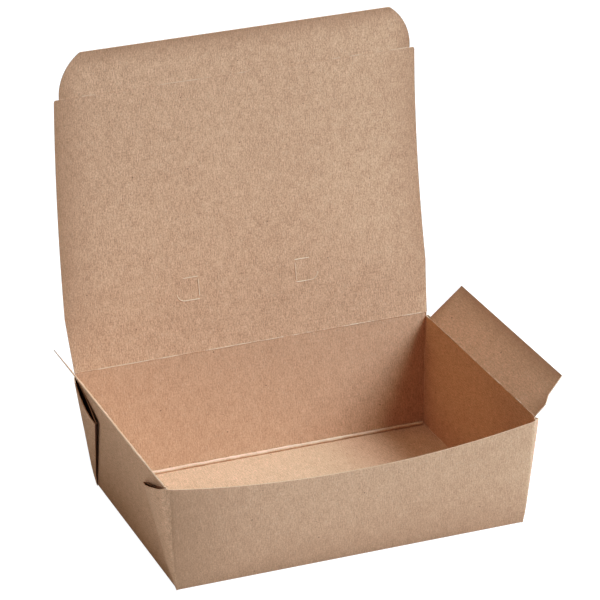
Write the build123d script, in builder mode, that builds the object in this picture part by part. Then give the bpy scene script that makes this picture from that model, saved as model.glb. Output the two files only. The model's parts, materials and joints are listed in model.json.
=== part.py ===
"""Takeaway box of folded paperboard, standing open, in millimetres.

The origin is the centre of the bottom panel's underside. +X runs right along the front wall,
+Y to the back wall and +Z up. One sheet makes it all: the tray, and the panels that swing on creases.
"""

import os
from math import asin, atan, cos, hypot, pi, radians, sin

from build123d import *

# Board, and the inside radius of a folded crease
board = 0.5
fold_radius = 0.3

# Tray: bottom panel and leaning walls. A flare is how far a wall leans out at its crease.
base_length = 196.0
base_width = 139.7
wall_height = 63.5
end_flare = 6.2
long_flare = 9.0
front_scoop = 9.5

# Web corners, folded on the outside of the side walls
web_fold_length = 59.0
web_tip = 1.5
web_slack = 0.2
front_web_standoff = 1.5
back_web_standoff = 4.0

# Creases: how far the wall's edge and the panel's root stop short of the crease line
wall_set = 0.3
panel_set = 0.1
crease_land = 0.06

# Lid, arched along its length and leaning back a little
lid_rise = 1.6
lid_overhang = 1.1
lid_taper = 2.6
lid_root_inset = 2.1
lid_root_length = 30.0
lid_arch = 6.2
lid_lean = 3.55
lid_corner_radius = 1.5

# Vent tabs cut in the lid, held shut by nicks at their corners
tab_from_middle = 28.6
tab_from_crease = 29.2
tab_height = 12.8
tab_cut_length = 8.6
tab_corner_reach = 4.3
tab_nick = 1.6
tab_slit = 0.25

# Tuck flap
tuck_play = 1.1
tuck_shoulder = 2.8
tuck_depth = 26.0
tuck_corner_start = 1.5
tuck_corner_width = 12.4
tuck_corner_blend = 2.5

# Side flaps. The angles are above level, outwards.
flap_depth = 25.8
flap_back_inset = 6.0
flap_back_taper = 2.8
flap_front_inset = 4.4
flap_front_taper = 2.6
flap_step = 4.1
flap_step_start = 8.5
flap_step_end = 13.5
left_flap_angle = 57.0
right_flap_angle = 43.0


# Outer faces of the leaning walls at a height, and the board's thickness measured level
def half_length(height):
    return base_length / 2 + end_flare * height / wall_height


def half_width(height):
    return base_width / 2 + long_flare * height / wall_height


end_slope = hypot(wall_height, end_flare)
long_slope = hypot(wall_height, long_flare)
end_skin = board * end_slope / wall_height
long_skin = board * long_slope / wall_height

# Heights of the creases and of the wall edges below them
side_edge = wall_height - wall_set
lid_crease = wall_height + lid_rise
back_edge = lid_crease - wall_set

# The web's fold halves the angle that the two walls leave between them in the flat sheet
end_edge_lean = atan(long_flare / end_slope)
long_edge_lean = atan(end_flare / long_slope)
fold_lean = (pi / 2 - end_edge_lean - long_edge_lean) / 2 - end_edge_lean
fold_run = web_fold_length * sin(fold_lean)
fold_top = web_fold_length * cos(fold_lean) * wall_height / end_slope
fold_reach = half_width(fold_top) - base_width / 2 + fold_run
fold_stack = 2 * board + web_slack


def web_reach(height):
    return web_tip + (fold_reach - web_tip) * height / fold_top


corner_stack = fold_stack + web_slack * web_reach(wall_height) / fold_reach
corner_half_length = half_length(wall_height) + corner_stack


# Level section of the four walls, on their outside or set in by their skins
def wall_section(height, end_inset, long_inset):
    with BuildSketch(Plane.XY.offset(height)) as section:
        Rectangle(2 * (half_length(height) - end_inset), 2 * (half_width(height) - long_inset))
    return section.sketch


# Level section in the back right corner: points stand in from the long wall and out from the side wall
def corner_section(height, points):
    with BuildSketch(Plane.XY.offset(height)) as section:
        with BuildLine():
            corners = [
                (half_length(height) + outward, half_width(height) - inward)
                for inward, outward in points
            ]
            Polyline(*corners, close=True)
        make_face()
    return section.sketch


# The web's two flat faces at a height: one starts on the side wall's corner, one spreads from the fold
def inner_face(inward, fold_standoff):
    return (fold_standoff - fold_stack) * inward / fold_reach


def outer_face(inward, height, fold_standoff):
    spread = web_slack * (web_reach(height) - inward) / fold_reach
    return inner_face(inward, fold_standoff) + fold_stack + spread


def web_section(height, fold_standoff):
    reach = web_reach(height)
    points = (
        (board, -board / 2),
        (0, -board / 2),
        (0, outer_face(0, height, fold_standoff)),
        (reach, outer_face(reach, height, fold_standoff)),
        (reach, inner_face(reach, fold_standoff)),
        (board, inner_face(board, fold_standoff)),
    )
    return corner_section(height, points)


def web_gap_section(height, fold_standoff):
    deepest = web_reach(height) - board
    points = (
        (board, outer_face(board, height, fold_standoff) - board),
        (deepest, outer_face(deepest, height, fold_standoff) - board),
        (deepest, inner_face(deepest, fold_standoff) + board),
        (board, inner_face(board, fold_standoff) + board),
    )
    return corner_section(height, points)


# Flat-faced solid between two level sections whose edges run parallel
def panel_loft(*sections):
    skin = loft(sections, ruled=True, mode=Mode.PRIVATE)
    outlines = [[edge @ 0 for edge in face.outer_wire().order_edges()] for face in skin.faces()]
    return Solid(Shell([Face(Wire.make_polygon(outline)) for outline in outlines]))


# Block inside four leaning walls, with its bottom folds rounded
def leaning_block(bottom, end_inset, long_inset, radius):
    with BuildPart() as block:
        add(panel_loft(*(wall_section(height, end_inset, long_inset) for height in (bottom, back_edge))))
        fillet(block.faces().sort_by(Axis.Z)[0].edges(), radius=radius)
    return block.part


# One web: both halves of the triangle between two walls, with rounded folds and a gap between the halves
def folded_web(fold_standoff):
    with BuildPart() as web:
        add(panel_loft(*(web_section(height, fold_standoff) for height in (0, wall_height))))
        fillet(web.edges().sort_by(SortBy.LENGTH)[-2:], radius=board)
        fillet(web.faces().sort_by(Axis.Y)[-1].edges().sort_by(Axis.X)[-1], radius=fold_radius + board)
        gap = panel_loft(*(web_gap_section(height, fold_standoff) for height in (board, wall_height)))
        add(gap, mode=Mode.SUBTRACT)
    return web.part


# Tray: webs first, trimmed along their slanting tops, then the leaning walls and the hollow
with BuildPart() as tray:
    back_web = folded_web(back_web_standoff)
    front_web = mirror(folded_web(front_web_standoff), about=Plane.XZ, mode=Mode.PRIVATE)
    for web in (back_web, front_web):
        add(web)
        mirror(web, about=Plane.YZ)

    web_top_slope = (wall_height - fold_top) / (half_width(wall_height) - base_width / 2 + fold_run)
    web_top_middle = wall_height - web_top_slope * half_width(wall_height)
    with BuildSketch(Plane.YZ):
        with BuildLine():
            Polyline(
                (-half_width(wall_height), wall_height),
                (0, web_top_middle),
                (half_width(wall_height), wall_height),
                (0, wall_height + base_width),
                close=True,
            )
        make_face()
    extrude(amount=base_length, both=True, mode=Mode.SUBTRACT)

    add(leaning_block(0, 0, 0, fold_radius + board))
    add(leaning_block(board, end_skin, long_skin, fold_radius), mode=Mode.SUBTRACT)

    # The side and front walls stop lower than the back wall
    back_inside = half_width(side_edge) - long_skin
    with BuildSketch(Plane(origin=(0, back_inside, side_edge))):
        Rectangle(2 * base_length, 2 * base_width, align=(Align.CENTER, Align.MAX))
    extrude(amount=2 * lid_rise, mode=Mode.SUBTRACT)

    # The front wall's top dips in one long arc from corner to corner
    with BuildSketch(Plane.XZ.offset(half_width(side_edge - front_scoop) - 2 * long_skin)):
        with BuildLine():
            scoop = ThreePointArc(
                (-corner_half_length, side_edge),
                (0, side_edge - front_scoop),
                (corner_half_length, side_edge),
            )
            Polyline(
                scoop @ 1,
                (corner_half_length, lid_crease),
                (-corner_half_length, lid_crease),
                scoop @ 0,
            )
        make_face()
    extrude(amount=long_flare, mode=Mode.SUBTRACT)

# Lid line in the YZ plane: an arc from the back crease to the tuck crease, bowed to the back
lean = radians(lid_lean)
along = Vector(0, sin(lean), cos(lean))
outward = Vector(0, cos(lean), -sin(lean))
lid_hinge = Vector(0, half_width(lid_crease) - long_skin / 2, lid_crease)
lid_chord = lid_hinge.Y + half_width(wall_height) - long_skin - tuck_play
tuck_crease = lid_hinge + along * lid_chord
lid_radius = (lid_chord**2 / 4 + lid_arch**2) / (2 * lid_arch)
lid_centre = lid_hinge + along * (lid_chord / 2) - outward * (lid_radius - lid_arch)
half_turn = asin(lid_chord / 2 / lid_radius)
lid_half_width = corner_half_length + lid_overhang
lid_root_half_width = lid_half_width - lid_root_inset


def lid_point(turn, radius):
    return (lid_centre.Y + radius * cos(turn - lean), lid_centre.Z + radius * sin(turn - lean))


with BuildPart() as lid:
    tip_turn = half_turn - panel_set / lid_radius
    face_turn = half_turn - (panel_set + board / 2) / lid_radius
    outer_radius = lid_radius + board / 2
    inner_radius = lid_radius - board / 2
    with BuildSketch(Plane.YZ):
        with BuildLine():
            ThreePointArc(*(lid_point(turn, outer_radius) for turn in (-face_turn, 0, face_turn)))
            Polyline(
                lid_point(face_turn, outer_radius),
                lid_point(tip_turn, lid_radius),
                lid_point(face_turn, inner_radius),
            )
            ThreePointArc(*(lid_point(turn, inner_radius) for turn in (face_turn, 0, -face_turn)))
            Polyline(
                lid_point(-face_turn, inner_radius),
                lid_point(-tip_turn, lid_radius),
                lid_point(-face_turn, outer_radius),
            )
        make_face()
    extrude(amount=lid_half_width, both=True)

    # Outline: drawn in at the root to pass between the open side flaps, then tapered to the tuck crease
    with BuildSketch(Plane.XZ) as lid_outline:
        with BuildLine():
            Polyline(
                (-lid_root_half_width, lid_crease),
                (lid_root_half_width, lid_crease),
                (lid_half_width, lid_crease + lid_root_length),
                (lid_half_width - lid_taper, tuck_crease.Z),
                (lid_taper - lid_half_width, tuck_crease.Z),
                (-lid_half_width, lid_crease + lid_root_length),
                close=True,
            )
        make_face()
        fillet(lid_outline.vertices().group_by(Axis.Y)[-1], radius=lid_corner_radius)
    extrude(amount=base_width, both=True, mode=Mode.INTERSECT)

    tab_low = lid_crease + tab_from_crease
    tab_high = tab_low + tab_height
    with BuildSketch(Plane.XZ):
        for side in (-1, 1):
            inner = side * tab_from_middle
            outer = side * (tab_from_middle + tab_cut_length)
            with BuildLine() as tab_cuts:
                Line((inner, tab_high), (outer, tab_high))
                Line((inner, tab_high - tab_nick), (inner, tab_low + tab_nick))
                Line((inner, tab_low), (outer, tab_low))
                TangentArc(
                    (outer, tab_low),
                    (outer + side * tab_corner_reach, tab_low + tab_corner_reach),
                    tangent=(side, 0),
                )
            trace(tab_cuts.line, line_width=tab_slit)
    extrude(amount=-base_width, mode=Mode.SUBTRACT)


# A flat panel has a root that is mitred on both faces, so it can fold either way
def mitre_root(panel, crease):
    roots = panel.edges().filter_by(Axis(crease.origin, crease.x_dir)).sort_by_distance(crease.origin)[:2]
    chamfer(roots, length=(board - crease_land) / 2)


# Tuck flap: flat, in line with the lid's front end
end_lean = lean - half_turn
tuck_plane = Plane(origin=tuck_crease, x_dir=(1, 0, 0), z_dir=(0, -cos(end_lean), sin(end_lean)))
tuck_half_width = lid_half_width - lid_taper - tuck_shoulder

with BuildPart() as tuck_flap:
    with BuildSketch(tuck_plane) as tuck_outline:
        with BuildLine():
            left_corner, right_corner = (
                TangentArc(
                    (side * tuck_half_width, tuck_corner_start),
                    (side * (tuck_half_width - tuck_corner_width), tuck_depth),
                    tangent=(0, 1),
                )
                for side in (-1, 1)
            )
            Line(left_corner @ 1, right_corner @ 1)
            Polyline(
                left_corner @ 0,
                (-tuck_half_width, panel_set),
                (tuck_half_width, panel_set),
                right_corner @ 0,
            )
        make_face()
        fillet(tuck_outline.vertices().group_by(Axis.Y)[-1], radius=tuck_corner_blend)
    extrude(amount=board / 2, both=True)
    mitre_root(tuck_flap, tuck_plane)

# Side flaps: one outline, drawn from its crease outwards, swung up on each side
side_crease_x = half_length(wall_height) - end_skin / 2
flap_front = flap_front_inset - half_width(wall_height)
flap_back = half_width(wall_height) - flap_back_inset


def flap_plane(side, angle):
    rise = radians(angle)
    return Plane(
        origin=(side * side_crease_x, 0, wall_height),
        x_dir=(0, 1, 0),
        z_dir=(sin(rise), 0, -side * cos(rise)),
    )


def flap_outline(crease):
    with BuildSketch(crease) as outline:
        with BuildLine():
            Polyline(
                (flap_front, panel_set),
                (flap_front, flap_step_start),
                (flap_front + flap_step, flap_step_end),
                (flap_front + flap_step + flap_front_taper, flap_depth),
                (flap_back - flap_back_taper, flap_depth),
                (flap_back, panel_set),
                close=True,
            )
        make_face()
    return outline.sketch


left_plane = flap_plane(-1, left_flap_angle)
with BuildPart() as left_flap:
    extrude(flap_outline(left_plane), amount=board / 2, both=True)
    mitre_root(left_flap, left_plane)

right_plane = flap_plane(1, right_flap_angle)
with BuildPart() as right_flap:
    extrude(flap_outline(right_plane), amount=board / 2, both=True)
    mitre_root(right_flap, right_plane)

tray.part.label = "tray"
lid.part.label = "lid"
tuck_flap.part.label = "tuck_flap"
left_flap.part.label = "left_flap"
right_flap.part.label = "right_flap"

os.makedirs("parts", exist_ok=True)
for piece in (tray, lid, tuck_flap, left_flap, right_flap):
    export_step(piece.part, f"parts/{piece.part.label}.step")

print("lid hinge", lid_hinge)
print("tuck crease", tuck_crease)
print("side crease x", side_crease_x)
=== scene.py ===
"""The takeaway box's looks: one folded sheet of brown board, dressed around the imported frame, in metres."""

import json
import math

import bpy
from mathutils import Matrix, Vector, noise


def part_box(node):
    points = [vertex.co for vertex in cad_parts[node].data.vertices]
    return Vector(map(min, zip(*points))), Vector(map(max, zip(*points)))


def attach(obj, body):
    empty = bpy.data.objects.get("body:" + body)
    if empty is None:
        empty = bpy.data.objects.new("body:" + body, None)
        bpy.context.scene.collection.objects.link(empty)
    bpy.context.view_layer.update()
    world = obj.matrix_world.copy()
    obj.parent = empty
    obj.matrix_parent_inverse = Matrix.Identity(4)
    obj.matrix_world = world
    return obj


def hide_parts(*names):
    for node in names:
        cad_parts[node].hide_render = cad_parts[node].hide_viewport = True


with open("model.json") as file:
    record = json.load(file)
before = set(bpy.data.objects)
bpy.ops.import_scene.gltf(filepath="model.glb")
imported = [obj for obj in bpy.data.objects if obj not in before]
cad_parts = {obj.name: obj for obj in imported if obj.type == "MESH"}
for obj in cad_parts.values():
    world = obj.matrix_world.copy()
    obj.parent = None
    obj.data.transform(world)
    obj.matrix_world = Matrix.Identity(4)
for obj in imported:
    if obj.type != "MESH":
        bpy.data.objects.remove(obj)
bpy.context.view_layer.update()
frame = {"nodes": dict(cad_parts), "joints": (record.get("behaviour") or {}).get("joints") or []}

MM = 0.001
lid_low, lid_high = (Vector(corner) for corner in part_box("lid"))
hinge = {joint["name"]: Vector(joint["pos_m"]) for joint in frame["joints"]}

# Camera, as the photograph was taken: degrees round and above the box, then metres and pixels
CAMERA_AZIMUTH = -19.635
CAMERA_ELEVATION = 22.606
CAMERA_ROLL = -1.979
CAMERA_DISTANCE = 1.958821
CAMERA_SIDEWAYS = -0.003532
CAMERA_UPWARDS = 0.111133
FOCAL_PIXELS = 3581.598
PHOTO_PIXELS = 600.0

# The photograph's tones, as light against what is shown, and the curve that acts on all three colours
COMBINED_CURVE = 3
TONE_CURVE = ((0.045, 0.0345), (0.10, 0.091), (0.19, 0.186), (0.31, 0.31), (0.52, 0.525), (0.79, 0.748))

# Studio lights: each one's place, the point that it faces, its two sides, its watts and its colour
SOFTBOXES = {
    "key_softbox": ((1.30, -0.55, 1.48), (0.06, -0.02, 0.08), (1.05, 1.05), 64.0, (0.86, 1.0, 1.13)),
    "top_softbox": ((-0.10, 0.05, 1.60), (0, 0, 0), (0.9, 0.9), 5.0, (1.0, 0.95, 0.90)),
    "low_side_card": ((-0.62, -0.05, 0.05), (0, 0, 0.03), (0.5, 0.1), 0.5, (1.0, 0.97, 0.94)),
}
ROOM_GLOW = 0.02

# The floor that shows, and the table under it that only throws light up: reflectance, glow and depth
GROUND_SIDE = 12.0
FLOOR_WHITE = 0.25
FLOOR_GLOW = 1.0
FLOOR_DEPTH = 0.1 * MM
TABLE_WHITE = 0.85
TABLE_GLOW = 0.06
TABLE_DEPTH = 0.4 * MM

# The board's colours in linear light, and tints that multiply them
BROWN = (0.625, 0.38, 0.238)
# Painted light: the flaps get a paler, warmer copy of the board's brown, for the light they catch
FLAP_LIT_BROWN = (0.68, 0.405, 0.25)
DARK_GRAIN_TINT = (0.58, 0.53, 0.48)
PALE_GRAIN_TINT = (1.42, 1.47, 1.52)
# Painted shade: the tint that the board darkens towards where shade is painted into its colour
PAINTED_SHADE_TINT = (0.50, 0.43, 0.37)
PALE_FIBRE = (0.80, 0.60, 0.42, 1.0)
DARK_SPECK = (0.13, 0.065, 0.035, 1.0)
RUBBED_FIBRES = (0.86, 0.66, 0.48, 1.0)
DARK_CUT_EDGE = (0.52, 0.33, 0.21, 1.0)
PALE_CUT_EDGE = (0.82, 0.60, 0.42, 1.0)
# Painted shadow: near-black colours for the board inside the web pockets, which lie in shade
DARK_POCKET_SHADOW = (0.05, 0.022, 0.012, 1.0)
PALE_POCKET_SHADOW = (0.17, 0.085, 0.05, 1.0)

# The board's grain: size across and along the sheet, and detail; then each layer's share beside the speckle
SPECKLE = (0.70 * MM, 1.0 * MM, 1.5)
STREAKS = (0.60 * MM, 3.8 * MM, 2.0)
CLOUDS = (5.5 * MM, 9.0 * MM, 3.0)
DRIFT = (45.0 * MM, 70.0 * MM, 1.0)
STREAK_SHARE = 0.8
CLOUD_SHARE = 0.34
DRIFT_SHARE = 0.10
LID_CONTRAST = 1.08
TRAY_CONTRAST = 0.76
FLAP_CONTRAST = 0.66
CREASE_CONTRAST = 0.8

# Fibres and specks: cell across and along the sheet, radius as a share of the cell, and share of cells filled
FIBRES = (2.1 * MM, 4.6 * MM, 0.17, 0.34)
FIBRE_STRENGTH = 0.30
SMALL_SPECKS = (11.0 * MM, 11.0 * MM, 0.026, 0.30)
LARGE_SPECKS = (34.0 * MM, 34.0 * MM, 0.015, 0.45)
SPECK_STRENGTH = 0.75

# Creases, edges and the painted shadow in the webs: the size and detail of their own unevenness
RUBBED_RUNS = (12.0 * MM, 12.0 * MM, 1.0)
RUBBED_CRUMBS = (1.6 * MM, 1.6 * MM, 2.0)
CRUMB_SHARE = 0.25
RUBBED_FROM = 0.46
RUBBED_TO = 0.60
EDGE_FUZZ = (0.5 * MM, 0.5 * MM, 2.0)
POCKET_SHADOW_MOTTLE = (2.0 * MM, 6.0 * MM, 2.0)

# How dark the painted shade makes the board at its edges, and how far in that reaches
# Painted shade on the tray's outside: darker towards the base all round, and along the front wall towards its
# left corner
BASE_PAINTED_SHADE = 0.36
BASE_PAINTED_SHADE_RUN = 38.0 * MM
CORNER_PAINTED_SHADE = 0.48
CORNER_PAINTED_SHADE_RUN = 84.0 * MM
# Painted shade on the lid: darker along both sides, more on the left, and less towards the crease
LID_LEFT_PAINTED_SHADE = 0.62
LID_RIGHT_PAINTED_SHADE = 0.40
LID_PAINTED_SHADE_RUN = 30.0 * MM
LID_UNSHADED_RUN = 70.0 * MM
# Painted shade on the side flaps and the tuck flap: darker towards their free edges and ends
FLAP_PAINTED_SHADE = 0.62
FLAP_PAINTED_SHADE_RUN = 17.0 * MM

# The tray's leaning walls, as packed, and what counts as their outer face
BOARD = 0.5 * MM
WALL_HEIGHT = 63.5 * MM
BASE_HALF_LENGTH = 98.0 * MM
BASE_HALF_WIDTH = 69.85 * MM
END_FLARE = 6.2 * MM
LONG_FLARE = 9.0 * MM
CORNER_STACK_LOW = 1.2 * MM
CORNER_STACK_HIGH = 1.44 * MM
OUTER_FACE_DEPTH = 0.25 * MM

# The front wall's bow between its folds, and the upright corners' radii at foot and head
FRONT_BOW = 1.6 * MM
FRONT_BOW_RUN = 32.0 * MM
FRONT_CORNER = (0.5 * MM, 5.4 * MM)
BACK_CORNER = (0.5 * MM, 2.0 * MM)

# The web corners, folded flat on the side walls: as packed, then how their layers spring apart
WEB_TIP = 1.5 * MM
WEB_REACH = 36.9 * MM
WEB_TOP = 50.8 * MM
WEB_STACK = 1.2 * MM
WEB_SLACK = 0.2 * MM
WEB_PAST_FOLD = 1.1
FRONT_WEB_STANDOFF = 1.5 * MM
BACK_WEB_STANDOFF = 4.0 * MM
FRONT_OUTER_BELLY = 2.3 * MM
FRONT_INNER_BELLY = 1.0 * MM
BACK_OUTER_BELLY = 1.0 * MM
BACK_INNER_BELLY = -1.0 * MM
BACK_EDGE_PRESS = 1.1 * MM
WEB_PINCH = 0.75
WEB_PINCH_HEIGHT = 9.0 * MM

# Where a web's hidden faces lie: off the wall, in from the outside, in from the corner, and past the fold
HIDDEN_OFF_WALL = 0.1 * MM
HIDDEN_UNDER_OUTSIDE = 0.15 * MM
HIDDEN_FROM_CORNER = 0.3 * MM
HIDDEN_PAST_FOLD = 1.05

# The lid, and the vent tabs cut in it, whose rounded corners turn by degrees
LID_TAPER = 2.6 * MM
SAME_LID_ROW = 0.3 * MM
TAB_FROM_MIDDLE = 28.6 * MM
TAB_FROM_CREASE = 29.2 * MM
TAB_HEIGHT = 12.8 * MM
TAB_CUT = 8.6 * MM
TAB_CORNER = 4.3 * MM
TAB_CORNER_TURN = 15
TAB_CORNER_POINTS = 7
TAB_NICK = 1.6 * MM
TAB_BURR = 0.25 * MM
TAB_BURR_SINK = 0.04 * MM

# Radii of the beads that creasing leaves, and how unevenly they run
FOLD_BEAD = 1.1 * MM
FOLD_BEAD_INSET = 0.95 * MM
SIDE_FOLD_BEAD = 0.34 * MM
CORNER_BEAD = 0.22 * MM
CORNER_BEAD_FOOT = 1.5 * MM
CORNER_BEAD_HEAD = 60.5 * MM
LID_CREASE_BEAD = 0.36 * MM
TUCK_CREASE_BEAD = 0.29 * MM
FLAP_CREASE_BEAD = 0.34 * MM
BEAD_END_GAP = 0.2 * MM
BEAD_SIDES = 10
BEAD_FIRST_ROW = 1.2 * MM
BEAD_ROW = 1.5 * MM
BEAD_UNEVENNESS = 0.15
BEAD_WANDER = 0.11 * MM
BEAD_SEED = 5
SWELL_PITCH = 300.0
SWELL_OFFSET = 700.0
WANDER_PITCH = 170.0
WANDER_OFFSET = 500.0

# Start, spacing and number of the cuts that let a sheet bend and take its tones
FIRST_COLUMN = -96.0 * MM
COLUMN = 12.0 * MM
COLUMNS = 17
FIRST_BASE_ROW = -75.0 * MM
BASE_ROW = 6.0 * MM
BASE_ROWS = 26
WALL_ROW = 6.0 * MM
WALL_ROWS = 10
CORNER_ROW = 0.8 * MM
CORNER_ROWS = 7
LID_FIRST_ROW = 72.0 * MM
LID_ROW = 10.0 * MM
LID_ROWS = 15
LID_EDGE_BAND = 13.0 * MM
LID_EDGE_ROW = 2.0 * MM
LID_EDGE_ROWS = 7
PANEL_ROW = 3.0 * MM
PANEL_COLUMN = 4.0 * MM
PANEL_FIRST_COLUMN = 2.0 * MM

# Merging, smoothing and sorting of faces
MERGE_DISTANCE = 0.001 * MM
FLAT_WITHIN = math.radians(0.3)
SHEET_SMOOTHING = math.radians(28)
BEAD_SMOOTHING = math.radians(40)
BURR_SMOOTHING = math.radians(50)
UPWARD_EDGE = 0.8
LOWEST_CUT_EDGE = 40.0 * MM
TURNED_EDGE = 0.6

# Shifts that give the level panels and the side walls their own stretch of grain
LEVEL_MAP_SHIFT = 0.5
SIDE_MAP_SHIFT = 0.7

# The box's two sides and their flaps, and the axes that its creases run along
SIDES = ((-1, "left"), (1, "right"))
SIDE_FLAPS = ("left_flap", "right_flap")
ACROSS = 0
DEEP = 1


# Shader building

class Value:
    """A shader socket that reads as a number: arithmetic on it adds Math nodes."""

    def __init__(self, finish, socket):
        self.finish = finish
        self.socket = socket

    def math(self, operation, first, second=0.0):
        return self.finish.node("ShaderNodeMath", {"operation": operation}, {0: first, 1: second})

    def __add__(self, other):
        return self.math("ADD", self, other)

    __radd__ = __add__

    def __sub__(self, other):
        return self.math("SUBTRACT", self, other)

    def __rsub__(self, other):
        return self.math("SUBTRACT", other, self)

    def __mul__(self, other):
        return self.math("MULTIPLY", self, other)

    __rmul__ = __mul__


class Finish:
    """A procedural material under construction."""

    def __init__(self, name):
        self.material = bpy.data.materials.new(name)
        self.material.use_nodes = True
        self.tree = self.material.node_tree
        self.shader = self.tree.nodes["Principled BSDF"]

    def node(self, kind, settings=None, inputs=None, output=0):
        made = self.tree.nodes.new(kind)
        for key, value in (settings or {}).items():
            setattr(made, key, value)
        self.fill(made, inputs or {})
        return Value(self, made.outputs[output])

    def fill(self, made, inputs):
        for key, value in inputs.items():
            if isinstance(value, Value):
                self.tree.links.new(value.socket, made.inputs[key])
            else:
                made.inputs[key].default_value = value

    def mix(self, factor, first, second):
        return self.node("ShaderNodeMix", {"data_type": "RGBA"}, {0: factor, 6: first, 7: second}, output=2)

    def bump(self, relief, strength, depth):
        return self.node("ShaderNodeBump", inputs={"Strength": strength, "Distance": depth, "Height": relief})

    def stretched_map(self, across, along):
        """The sheet's own map, with one unit as long as the sizes given in metres."""
        sheet = self.node("ShaderNodeUVMap", {"uv_map": "sheet"})
        return self.node("ShaderNodeMapping", inputs={"Vector": sheet, "Scale": (1 / across, 1 / along, 1.0)})

    def grain_noise(self, across, along, detail):
        """Noise on the sheet's map, with its features' size across and along the grain."""
        return self.node(
            "ShaderNodeTexNoise",
            {"noise_dimensions": "2D"},
            {"Vector": self.stretched_map(across, along), "Scale": 1.0, "Detail": detail, "Roughness": 0.6},
        )

    def flecks(self, across, along, radius, share):
        """Sparse spots: one at most in each cell of the sheet's map."""
        cells = {"voronoi_dimensions": "2D"}
        place = {"Vector": self.stretched_map(across, along), "Scale": 1.0}
        distance = self.node("ShaderNodeTexVoronoi", cells, place)
        lottery = self.node("ShaderNodeTexVoronoi", cells, place, output=1)
        drawn = self.node("ShaderNodeSeparateColor", inputs={0: lottery})
        picked = drawn.math("LESS_THAN", drawn, share)
        near = self.node("ShaderNodeMapRange", inputs={
            "Value": distance, "From Min": radius, "From Max": radius / 2, "To Min": 0.0, "To Max": 1.0,
        })
        return near * picked


def tinted(colour, tint):
    return tuple(part * share for part, share in zip(colour, tint)) + (1.0,)


def board_colour(finish, contrast, brown):
    """Unbleached board: speckled fibres, streaks along the grain, clouds, specks and pale fibres."""
    speckle = finish.grain_noise(*SPECKLE)
    streaks = finish.grain_noise(*STREAKS)
    clouds = finish.grain_noise(*CLOUDS)
    drift = finish.grain_noise(*DRIFT)
    grain = (speckle - 0.5) + (streaks - 0.5) * STREAK_SHARE + (clouds - 0.5) * CLOUD_SHARE
    tone = 0.5 + grain * contrast + (drift - 0.5) * DRIFT_SHARE
    colour = finish.mix(tone, tinted(brown, DARK_GRAIN_TINT), tinted(brown, PALE_GRAIN_TINT))
    colour = finish.mix(finish.flecks(*FIBRES) * FIBRE_STRENGTH, colour, PALE_FIBRE)
    for specks in (SMALL_SPECKS, LARGE_SPECKS):
        colour = finish.mix(finish.flecks(*specks) * SPECK_STRENGTH, colour, DARK_SPECK)
    # Painted shade: a value on each point darkens the board towards the shade tint
    painted_shade = finish.node("ShaderNodeAttribute", {"attribute_name": "painted_shade"}, output=2)
    colour = finish.mix(painted_shade, colour, tinted(brown, PAINTED_SHADE_TINT))
    relief = speckle * 0.5 + streaks * 0.5 + clouds * 0.9
    return colour, speckle, relief


def board_finish(name, contrast, brown):
    finish = Finish(name)
    colour, speckle, relief = board_colour(finish, contrast, brown)
    finish.fill(finish.shader, {
        "Base Color": colour,
        "Roughness": 0.80 + 0.15 * speckle,
        "Normal": finish.bump(relief, strength=0.35, depth=0.12 * MM),
        "Specular IOR Level": 0.22,
    })
    return finish.material


def crease_finish(name, least, most):
    """A creased line: rubbed pale where the rule cracked the top fibres, nearer to plain board in between."""
    finish = Finish(name)
    colour, speckle, relief = board_colour(finish, CREASE_CONTRAST, BROWN)
    runs = finish.grain_noise(*RUBBED_RUNS)
    crumbs = finish.grain_noise(*RUBBED_CRUMBS)
    rubbed = finish.node("ShaderNodeMapRange", inputs={
        "Value": runs * (1 - CRUMB_SHARE) + crumbs * CRUMB_SHARE,
        "From Min": RUBBED_FROM, "From Max": RUBBED_TO, "To Min": least, "To Max": most,
    })
    finish.fill(finish.shader, {
        "Base Color": finish.mix(rubbed, colour, RUBBED_FIBRES),
        "Roughness": 0.85 + 0.1 * speckle,
        "Normal": finish.bump(relief, strength=0.4, depth=0.15 * MM),
        "Specular IOR Level": 0.2,
    })
    return finish.material


def cut_edge_finish(name):
    """The die-cut edge: a paler, fuzzy core."""
    finish = Finish(name)
    fuzz = finish.grain_noise(*EDGE_FUZZ)
    finish.fill(finish.shader, {
        "Base Color": finish.mix(fuzz, DARK_CUT_EDGE, PALE_CUT_EDGE),
        "Roughness": 0.9 + 0.1 * fuzz,
        "Specular IOR Level": 0.1,
    })
    return finish.material


def pocket_shadow_finish(name):
    """Painted shadow on the board inside the webs: a dark, mottled colour where the pockets lie in shade."""
    finish = Finish(name)
    shadow_mottle = finish.grain_noise(*POCKET_SHADOW_MOTTLE)
    finish.fill(finish.shader, {
        "Base Color": finish.mix(shadow_mottle, DARK_POCKET_SHADOW, PALE_POCKET_SHADOW),
        "Roughness": 0.75 + 0.2 * shadow_mottle,
        "Specular IOR Level": 0.2,
    })
    return finish.material


LID_FINISH = board_finish("brown_board_lid", LID_CONTRAST, BROWN)
TRAY_FINISH = board_finish("brown_board_tray", TRAY_CONTRAST, BROWN)
# Painted light: the flaps use the paler, warmer copy of the brown
FLAP_FINISH = board_finish("brown_board_flaps", FLAP_CONTRAST, FLAP_LIT_BROWN)
EDGE_FINISH = cut_edge_finish("cut_edge")
POCKET_SHADOW_FINISH = pocket_shadow_finish("painted_pocket_shadow")
CREASE_FINISH = crease_finish("creased_board", least=0.0, most=0.9)
FOLD_FINISH = crease_finish("folded_board", least=0.40, most=0.75)
FAINT_CREASE_FINISH = crease_finish("faint_crease", least=0.0, most=0.55)
# Raised fibres, partly a painted highlight: the tab burrs are pale on every side, also where they face away
# from the light
BURR_FINISH = crease_finish("raised_fibres_and_highlight", least=0.7, most=1.0)


# Modelling helpers

def select_only(piece):
    bpy.ops.object.select_all(action="DESELECT")
    bpy.context.view_layer.objects.active = piece
    piece.select_set(True)


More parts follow.
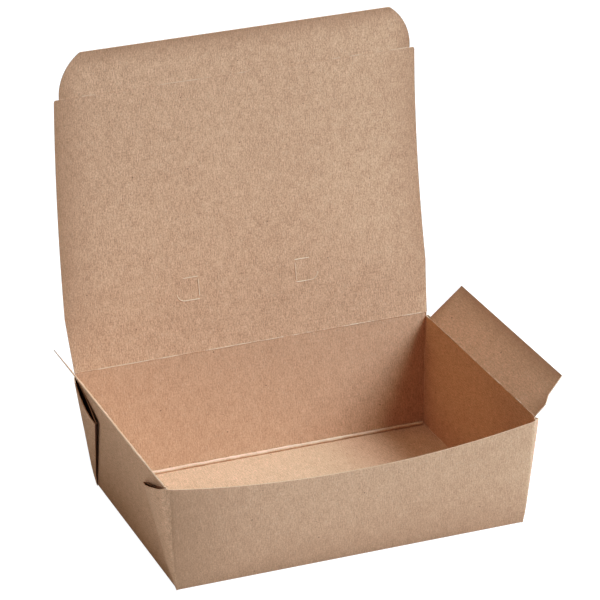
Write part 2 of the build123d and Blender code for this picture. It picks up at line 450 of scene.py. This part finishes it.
def edit(piece):
    """Makes a piece the only selected one and opens it for editing."""
    select_only(piece)
    bpy.ops.object.mode_set(mode="EDIT")
    bpy.ops.mesh.select_all(action="SELECT")


def done():
    bpy.ops.object.mode_set(mode="OBJECT")


def cut(place, normal):
    """Cuts the open piece right across by one plane."""
    bpy.ops.mesh.select_all(action="SELECT")
    bpy.ops.mesh.bisect(plane_co=place, plane_no=normal)


def cut_rows(start, step, count):
    """Cuts the open piece by evenly spaced planes."""
    for row in range(count):
        cut(Vector(start) + Vector(step) * row, Vector(step).normalized())


def unit(along):
    return Vector((1, 0, 0)) if along == ACROSS else Vector((0, 1, 0))


def clamped(share):
    return min(max(share, 0.0), 1.0)


def nearness(distance, run):
    """One at an edge, and nothing a run away from it."""
    return (1 - clamped(distance / run)) ** 2


def sheet_from(node, name):
    """A copy of a packed sheet, merged and opened for editing."""
    piece = bpy.data.objects.new(name, frame["nodes"][node].data.copy())
    bpy.context.scene.collection.objects.link(piece)
    piece.data.materials.clear()
    edit(piece)
    bpy.ops.mesh.customdata_custom_splitnormals_clear()
    bpy.ops.mesh.remove_doubles(threshold=MERGE_DISTANCE)
    bpy.ops.mesh.dissolve_limited(angle_limit=FLAT_WITHIN)
    return piece


def map_sheet(piece):
    """Lays the board's map on a piece, grain along the sheet's front-to-back line."""
    layer = piece.data.uv_layers.new(name="sheet")
    for face in piece.data.polygons:
        steep = [abs(part) for part in face.normal]
        for corner in face.loop_indices:
            place = piece.data.vertices[piece.data.loops[corner].vertex_index].co
            if steep[1] >= max(steep[0], steep[2]):
                layer.data[corner].uv = (place.x, place.z)
            elif steep[2] >= steep[0]:
                layer.data[corner].uv = (place.x, place.y + LEVEL_MAP_SHIFT)
            else:
                layer.data[corner].uv = (place.z + SIDE_MAP_SHIFT, place.y)


def paint_shade(piece, tone):
    """Paints how much painted shade darkens each point."""
    painted_shade = piece.data.attributes.new("painted_shade", "FLOAT", "POINT")
    for vertex, value in zip(piece.data.vertices, painted_shade.data):
        value.value = tone(vertex.co)


def finish_sheet(piece, body, finishes, choose):
    """Smooths, maps and colours a sheet; choose gives each face's place in the list of finishes."""
    done()
    bpy.ops.object.shade_smooth_by_angle(angle=SHEET_SMOOTHING)
    map_sheet(piece)
    for finish in finishes:
        piece.data.materials.append(finish)
    for face in piece.data.polygons:
        face.material_index = choose(face)
    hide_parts(body)
    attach(piece, body)


def finish_line(piece, body, smoothing, finish):
    """Smooths, maps and colours a thin raised line."""
    bpy.ops.object.shade_smooth_by_angle(angle=smoothing)
    map_sheet(piece)
    piece.data.materials.append(finish)
    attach(piece, body)


# Tray

def half_length(height):
    return BASE_HALF_LENGTH + END_FLARE * height / WALL_HEIGHT


def half_width(height):
    return BASE_HALF_WIDTH + LONG_FLARE * height / WALL_HEIGHT


def corner_length(height):
    """Half the length over the folded corners, which are thicker towards the top."""
    share = height / WALL_HEIGHT
    return half_length(height) + CORNER_STACK_LOW + (CORNER_STACK_HIGH - CORNER_STACK_LOW) * share


def round_corner(place, low_radius, high_radius):
    """Moves a point near an upright corner on to a fold that opens towards its top."""
    share = place.z / WALL_HEIGHT
    radius = low_radius + (high_radius - low_radius) * share
    deep = half_width(place.z) - abs(place.y)
    side = corner_length(place.z) - abs(place.x)
    if deep >= radius or side >= radius:
        return place
    first = radius - deep
    second = min(radius - side, radius)
    scale = max(first, second) / math.hypot(first, second)
    reach = corner_length(place.z) - radius + second * scale + (radius - side - second)
    moved = place.copy()
    moved.y = math.copysign(half_width(place.z) - radius + first * scale, place.y)
    moved.x = math.copysign(reach, place.x)
    return moved


def web_place(place):
    """How far a point is in from its corner and out from the wall, and how far out the inner face is."""
    inward = half_width(place.z) - abs(place.y)
    out = abs(place.x) - half_length(place.z)
    standoff = FRONT_WEB_STANDOFF if place.y < 0 else BACK_WEB_STANDOFF
    return inward, out, (standoff - WEB_STACK) * inward / WEB_REACH


def web_shift(place):
    """How far a web corner's layer stands out sideways from where the flat fold puts it."""
    inward, out, inner_face = web_place(place)
    reach = WEB_TIP + (WEB_REACH - WEB_TIP) * place.z / WEB_TOP
    if not -WEB_SLACK < inward < WEB_PAST_FOLD * reach or out < inner_face / 2:
        return 0.0
    share = clamped(inward / reach)
    height = clamped(place.z / WEB_TOP)
    belly = math.sin(math.pi * share) * height ** 1.5
    pinch = WEB_PINCH * out * max(1 - place.z / WEB_PINCH_HEIGHT, 0.0)
    outer = out > inner_face + WEB_STACK / 2
    if place.y < 0:
        return belly * (FRONT_OUTER_BELLY if outer else FRONT_INNER_BELLY) - pinch
    press = BACK_EDGE_PRESS * share ** 4 * height
    return belly * (BACK_OUTER_BELLY if outer else BACK_INNER_BELLY) - press - pinch


def inside_web(place):
    """Tells whether a point lies on the hidden faces between a web's layers and its wall."""
    inward, out, inner_face = web_place(place)
    between = HIDDEN_OFF_WALL < out < inner_face + WEB_STACK - HIDDEN_UNDER_OUTSIDE
    return between and HIDDEN_FROM_CORNER < inward < HIDDEN_PAST_FOLD * WEB_REACH


def front_bow(place):
    """How far the front wall's board bows out between its folds."""
    if half_width(place.z) + place.y > 2 * BOARD:
        return 0.0
    along = clamped((half_length(place.z) - abs(place.x)) / FRONT_BOW_RUN)
    upward = clamped(place.z / WALL_HEIGHT)
    return FRONT_BOW * math.sin(math.pi * upward) * math.sin(math.pi / 2 * along)


def tray_painted_shade(place):
    """How much painted shade darkens the tray's outside at a point: by the base and the left front corner."""
    deep = half_width(place.z) - abs(place.y)
    side = half_length(place.z) - abs(place.x)
    if min(deep, side) > OUTER_FACE_DEPTH:
        return 0.0
    base = BASE_PAINTED_SHADE * nearness(place.z, BASE_PAINTED_SHADE_RUN)
    if place.y > 0 or deep > side:
        return base
    return max(base, CORNER_PAINTED_SHADE * nearness(place.x + half_length(place.z), CORNER_PAINTED_SHADE_RUN))


def cut_corner_rows():
    """Cuts the open tray along its leaning walls, close to the upright corners."""
    end_lean = math.atan2(LONG_FLARE, WALL_HEIGHT)
    side_lean = math.atan2(END_FLARE + CORNER_STACK_HIGH - CORNER_STACK_LOW, WALL_HEIGHT)
    for row in range(1, CORNER_ROWS + 1):
        deep = BASE_HALF_WIDTH - row * CORNER_ROW
        long = BASE_HALF_LENGTH + CORNER_STACK_LOW - row * CORNER_ROW
        for side in (-1, 1):
            cut((0, side * deep, 0), (0, side * math.cos(end_lean), -math.sin(end_lean)))
            cut((side * long, 0, 0), (side * math.cos(side_lean), 0, -math.sin(side_lean)))


def build_tray():
    piece = sheet_from("tray", "board_tray")
    cut_rows((FIRST_COLUMN, 0, 0), (COLUMN, 0, 0), COLUMNS)
    cut_rows((0, FIRST_BASE_ROW, 0), (0, BASE_ROW, 0), BASE_ROWS)
    cut_rows((0, 0, WALL_ROW), (0, 0, WALL_ROW), WALL_ROWS)
    cut_corner_rows()
    done()
    hidden = {vertex.index for vertex in piece.data.vertices if inside_web(vertex.co)}
    for vertex in piece.data.vertices:
        vertex.co.y -= front_bow(vertex.co)
        vertex.co.x += math.copysign(1, vertex.co.x) * web_shift(vertex.co)
        vertex.co = round_corner(vertex.co, *(FRONT_CORNER if vertex.co.y < 0 else BACK_CORNER))
    edit(piece)

    def choose(face):
        if face.normal.z > UPWARD_EDGE and face.center.z > LOWEST_CUT_EDGE:
            return 1
        # Faces hidden between a web's layers and its wall take the painted shadow
        return 2 * hidden.issuperset(face.vertices)

    finish_sheet(piece, "tray", (TRAY_FINISH, EDGE_FINISH, POCKET_SHADOW_FINISH), choose)
    paint_shade(piece, tray_painted_shade)


# Lid and flaps

def lid_half_width(height):
    """Half the lid's width where it tapers to the tuck crease."""
    share = (height - lid_low.z) / (lid_high.z - lid_low.z)
    return lid_high.x - LID_TAPER * share


def lid_painted_shade(place):
    """How much painted shade darkens a point on the lid: along its two sides, and less towards its crease."""
    side = nearness(lid_half_width(place.z) - abs(place.x), LID_PAINTED_SHADE_RUN)
    tone = LID_LEFT_PAINTED_SHADE if place.x < 0 else LID_RIGHT_PAINTED_SHADE
    return tone * side * (1 - nearness(place.z - lid_low.z, LID_UNSHADED_RUN))


def build_lid():
    piece = sheet_from("lid", "board_lid")
    cut_rows((FIRST_COLUMN, 0, 0), (COLUMN, 0, 0), COLUMNS)
    cut_rows((0, 0, LID_FIRST_ROW), (0, 0, LID_ROW), LID_ROWS)
    for side in (-1, 1):
        cut_rows((side * (lid_high.x - LID_EDGE_BAND), 0, 0), (side * LID_EDGE_ROW, 0, 0), LID_EDGE_ROWS)
    finish_sheet(piece, "lid", (LID_FINISH, EDGE_FINISH), lambda face: int(abs(face.normal.y) < TURNED_EDGE))
    paint_shade(piece, lid_painted_shade)


def build_panel(node, joint, along, board):
    """A flat panel that swings on a crease, cut into rows away from the crease and columns along it."""
    piece = sheet_from(node, "board_" + node)
    done()
    broad = max(piece.data.polygons, key=lambda face: face.area).normal.copy()
    edit(piece)
    root = hinge[joint]
    low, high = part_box(node)
    points = [vertex.co for vertex in frame["nodes"][node].data.vertices]
    reach = max((place - root).cross(unit(along)).length for place in points)
    away = broad.cross(unit(along)).normalized()
    if away.z < 0:
        away = -away
    cut_rows(root + away * PANEL_ROW, away * PANEL_ROW, int(reach / PANEL_ROW))
    start = unit(along) * (low[along] + PANEL_FIRST_COLUMN)
    cut_rows(start, unit(along) * PANEL_COLUMN, int((high[along] - low[along]) / PANEL_COLUMN))

    # Painted shade: darker towards the panel's free edge and its ends
    def panel_painted_shade(place):
        tip = reach - (place - root).dot(away)
        ends = min(place[along] - low[along], high[along] - place[along])
        return FLAP_PAINTED_SHADE * nearness(min(tip, ends), FLAP_PAINTED_SHADE_RUN)

    def choose(face):
        return int(abs(face.normal.dot(broad)) < TURNED_EDGE)

    finish_sheet(piece, node, (board, EDGE_FINISH), choose)
    paint_shade(piece, panel_painted_shade)


# Creases

def crease_bead(name, body, start, end, radius, finish):
    """The rounded bead that a creasing rule leaves: a thin rod, a little uneven."""
    bpy.ops.object.select_all(action="DESELECT")
    run = end - start
    bpy.ops.mesh.primitive_cylinder_add(vertices=BEAD_SIDES, radius=radius, depth=run.length)
    piece = bpy.context.active_object
    piece.name = name
    edit(piece)
    cut_rows((0, 0, BEAD_FIRST_ROW - run.length / 2), (0, 0, BEAD_ROW), int(run.length / BEAD_ROW))
    done()
    for vertex in piece.data.vertices:
        along = Vector((0, 0, vertex.co.z))
        swell = 1 + BEAD_UNEVENNESS * noise.noise(along * SWELL_PITCH + start * SWELL_OFFSET)
        wander = BEAD_WANDER * noise.noise_vector(along * WANDER_PITCH + start * WANDER_OFFSET)
        wander.z = 0.0
        vertex.co = along + wander + (vertex.co - along) * swell
    place = run.to_track_quat("Z", "Y").to_matrix().to_4x4()
    place.translation = (start + end) / 2
    piece.data.transform(place)
    finish_line(piece, body, BEAD_SMOOTHING, finish)


def bead_on_hinge(node, body, joint, along, radius, finish):
    """A bead along a hinge, as long as the root of the panel that swings on it."""
    root = hinge[joint]
    points = [vertex.co for vertex in frame["nodes"][node].data.vertices]
    ends = [place[along] for place in points if place.z < root.z + BOARD]
    start = root.copy()
    end = root.copy()
    start[along] = min(ends) + BEAD_END_GAP
    end[along] = max(ends) - BEAD_END_GAP
    crease_bead(joint + "_bead", body, start, end, radius, finish)


def inner_corner(side, end, height, inset=0.0):
    """A point just inside an upright corner of the tray."""
    length = half_length(height) - BOARD - inset
    width = half_width(height) - BOARD - inset
    return Vector((side * length, end * width, height))


def add_tray_beads():
    height = BOARD + FOLD_BEAD_INSET
    for end, name in ((-1, "front"), (1, "back")):
        left, right = (inner_corner(side, end, height, FOLD_BEAD_INSET) for side in (-1, 1))
        crease_bead(name + "_fold_bead", "tray", left, right, FOLD_BEAD, FOLD_FINISH)
    for side, hand in SIDES:
        front, back = (inner_corner(side, end, BOARD) for end in (-1, 1))
        crease_bead(hand + "_fold_bead", "tray", front, back, SIDE_FOLD_BEAD, CREASE_FINISH)
        levels = (CORNER_BEAD_FOOT, CORNER_BEAD_HEAD)
        foot, head = (round_corner(inner_corner(side, 1, level), *BACK_CORNER) for level in levels)
        crease_bead("back_" + hand + "_corner_bead", "tray", foot, head, CORNER_BEAD, CREASE_FINISH)


# Vent tabs

def lid_face(height):
    """How far back the lid's inner face is at a height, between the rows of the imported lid's points."""
    rows = sorted({(round(vertex.co.z, 6), vertex.co.y) for vertex in frame["nodes"]["lid"].data.vertices})
    below = max(row for row, back in rows if row <= height)
    above = min(row for row, back in rows if row > height)
    near, far = (
        min(back for row, back in rows if abs(row - level) < SAME_LID_ROW) for level in (below, above)
    )
    return near + (far - near) * (height - below) / (above - below)


def burr_line(name, route):
    """A thin raised line on the lid's inner face."""
    data = bpy.data.curves.new(name, "CURVE")
    data.dimensions = "3D"
    data.bevel_depth = TAB_BURR
    data.bevel_resolution = 2
    data.use_fill_caps = True
    line = data.splines.new("POLY")
    line.points.add(len(route) - 1)
    for point, (across, height) in zip(line.points, route):
        point.co = (across, lid_face(height) + TAB_BURR_SINK, height, 1)
    piece = bpy.data.objects.new(name, data)
    bpy.context.scene.collection.objects.link(piece)
    select_only(piece)
    bpy.ops.object.convert(target="MESH")
    finish_line(bpy.context.active_object, "lid", BURR_SMOOTHING, BURR_FINISH)


def add_tab_burrs():
    """Each vent tab's cut line, its fibres raised along the die cut, pale partly from the fibres and partly
    as a painted highlight.
    """
    low = hinge["lid_crease"].z + TAB_FROM_CREASE
    high = low + TAB_HEIGHT
    turns = [math.radians(TAB_CORNER_TURN * step) for step in range(TAB_CORNER_POINTS)]
    for side, hand in SIDES:
        inner = side * TAB_FROM_MIDDLE
        outer = side * (TAB_FROM_MIDDLE + TAB_CUT)
        corner = [
            (outer + side * TAB_CORNER * math.sin(turn), low + TAB_CORNER * (1 - math.cos(turn)))
            for turn in turns
        ]
        cuts = {
            "top": [(inner, high), (outer, high)],
            "side": [(inner, high - TAB_NICK), (inner, low + TAB_NICK)],
            "bottom": [(inner, low)] + corner,
        }
        for name, route in cuts.items():
            burr_line(hand + "_tab_" + name + "_burr", route)


build_tray()
build_lid()
add_tab_burrs()
noise.seed_set(BEAD_SEED)
add_tray_beads()
bead_on_hinge("lid", "tray", "lid_crease", ACROSS, LID_CREASE_BEAD, CREASE_FINISH)
bead_on_hinge("tuck_flap", "lid", "tuck_crease", ACROSS, TUCK_CREASE_BEAD, FAINT_CREASE_FINISH)
for flap in SIDE_FLAPS:
    bead_on_hinge(flap, "tray", flap + "_crease", DEEP, FLAP_CREASE_BEAD, CREASE_FINISH)
build_panel("tuck_flap", "tuck_crease", ACROSS, LID_FINISH)
for flap in SIDE_FLAPS:
    build_panel(flap, flap + "_crease", DEEP, FLAP_FINISH)


# Studio

def place_camera():
    azimuth = math.radians(CAMERA_AZIMUTH)
    elevation = math.radians(CAMERA_ELEVATION)
    back = Vector((
        math.sin(azimuth) * math.cos(elevation),
        -math.cos(azimuth) * math.cos(elevation),
        math.sin(elevation),
    ))
    level = Vector((math.cos(azimuth), math.sin(azimuth), 0))
    turn = Matrix.Rotation(math.radians(CAMERA_ROLL), 3, back)
    right = turn @ level
    up = turn @ back.cross(level)
    data = bpy.data.cameras.new("photo_camera")
    data.lens = data.sensor_width * FOCAL_PIXELS / PHOTO_PIXELS
    camera = bpy.data.objects.new("photo_camera", data)
    bpy.context.scene.collection.objects.link(camera)
    place = Matrix((right, up, back)).transposed().to_4x4()
    place.translation = back * CAMERA_DISTANCE + right * CAMERA_SIDEWAYS + up * CAMERA_UPWARDS
    camera.matrix_world = place
    bpy.context.scene.camera = camera


def add_softbox(name, place, aim, size, power, colour):
    data = bpy.data.lights.new(name, "AREA")
    data.shape = "RECTANGLE"
    data.size, data.size_y = size
    data.energy = power
    data.color = colour
    lamp = bpy.data.objects.new(name, data)
    bpy.context.scene.collection.objects.link(lamp)
    lamp.location = place
    lamp.rotation_mode = "QUATERNION"
    lamp.rotation_quaternion = (Vector(aim) - Vector(place)).to_track_quat("-Z", "Y")


def lay_ground(name, white, glow, depth, seen):
    """A wide white plane: one that is seen throws no light, and one that isn't throws light up on the box."""
    bpy.ops.object.select_all(action="DESELECT")
    bpy.ops.mesh.primitive_plane_add(size=GROUND_SIDE, location=(0, 0, -depth))
    bpy.ops.object.transform_apply(location=True)
    plane = bpy.context.active_object
    plane.name = name
    finish = Finish(name + "_white")
    finish.fill(finish.shader, {
        "Base Color": (white, white, white, 1.0),
        "Roughness": 0.9,
        "Emission Color": (1.0, 1.0, 1.0, 1.0),
        "Emission Strength": glow,
    })
    plane.data.materials.append(finish.material)
    plane.visible_camera = seen
    plane.visible_diffuse = not seen
    plane.visible_glossy = not seen
    plane.visible_shadow = not seen


def fill_room():
    """Dim, even room light from all round."""
    world = bpy.data.worlds.new("studio")
    world.use_nodes = True
    room = world.node_tree.nodes["Background"]
    room.inputs["Color"].default_value = (1.0, 1.0, 1.0, 1.0)
    room.inputs["Strength"].default_value = ROOM_GLOW
    bpy.context.scene.world = world


def set_tones():
    """The photograph's tones: a plain view, with deeper shadows and softer highlights."""
    view = bpy.context.scene.view_settings
    view.view_transform = "Standard"
    view.use_curve_mapping = True
    tones = view.curve_mapping
    for light, shown in TONE_CURVE:
        tones.curves[COMBINED_CURVE].points.new(light, shown)
    tones.update()


place_camera()
for name, settings in SOFTBOXES.items():
    add_softbox(name, *settings)
lay_ground("floor", FLOOR_WHITE, FLOOR_GLOW, FLOOR_DEPTH, seen=True)
lay_ground("table", TABLE_WHITE, TABLE_GLOW, TABLE_DEPTH, seen=False)
fill_room()
set_tones()
